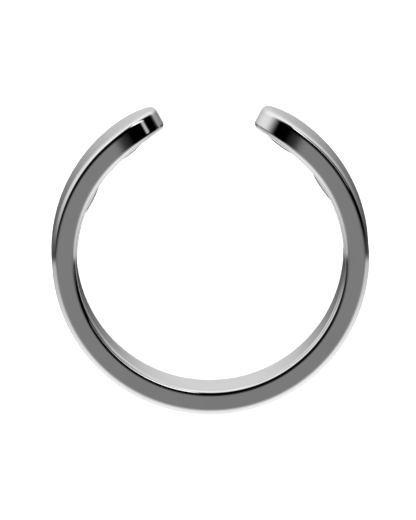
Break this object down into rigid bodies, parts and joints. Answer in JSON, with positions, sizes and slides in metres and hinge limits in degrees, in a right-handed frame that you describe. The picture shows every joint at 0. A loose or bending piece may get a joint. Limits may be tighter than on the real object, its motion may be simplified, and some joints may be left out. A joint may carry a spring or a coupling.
{
  "type": "open finger ring",
  "caption": "Plain open finger ring: a flat polished band with rounded edges and round ends, with four low beads on its inner wall.",
  "frame": {"origin": "on the ring's axis, in the plane that the ring rests on when it lies on its side", "axes": "+Z along the ring's axis and up, +Y towards the gap between the band's ends, +X to the right"},
  "size_m": [0.0206, 0.0201, 0.0042],
  "materials": {
    "silver": "mirror-polished sterling silver"
  },
  "bodies": {
    "root": {"band": "silver"}
  },
  "joints": []
}
